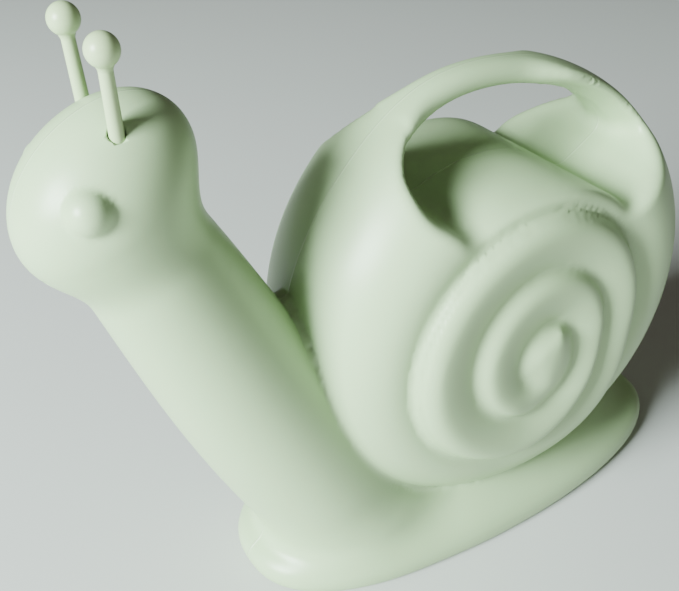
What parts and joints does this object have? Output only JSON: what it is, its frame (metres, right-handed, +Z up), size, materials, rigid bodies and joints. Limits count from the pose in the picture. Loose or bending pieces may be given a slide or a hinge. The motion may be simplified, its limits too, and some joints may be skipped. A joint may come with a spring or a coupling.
{
  "type": "watering can",
  "caption": "Hollow snail-shaped watering can with a spiral shell that forms the carrying handle, a pouring head and plug-in feelers.",
  "frame": {"origin": "centre of the foot's flat underside", "axes": "+Z up from the foot, -X towards the head that pours, +Y to the snail's left-hand side"},
  "size_m": [0.3711, 0.141, 0.3162],
  "materials": {
    "body_plastic": "satin pale sage green",
    "feeler_plastic": "satin pale sage green"
  },
  "bodies": {
    "can": {"can_body": "body_plastic"},
    "feeler_peg_left": {"feeler_left": "feeler_plastic"},
    "feeler_peg_right": {"feeler_right": "feeler_plastic"}
  },
  "joints": [
    {"name": "feeler_left_pull", "type": "slide", "parent": "can", "child": "feeler_peg_left", "axis": [-0.0273, 0.0729, 0.997], "range_m": [0, 0.016]},
    {"name": "feeler_right_pull", "type": "slide", "parent": "can", "child": "feeler_peg_right", "axis": [-0.0273, -0.0729, 0.997], "range_m": [0, 0.016]}
  ]
}
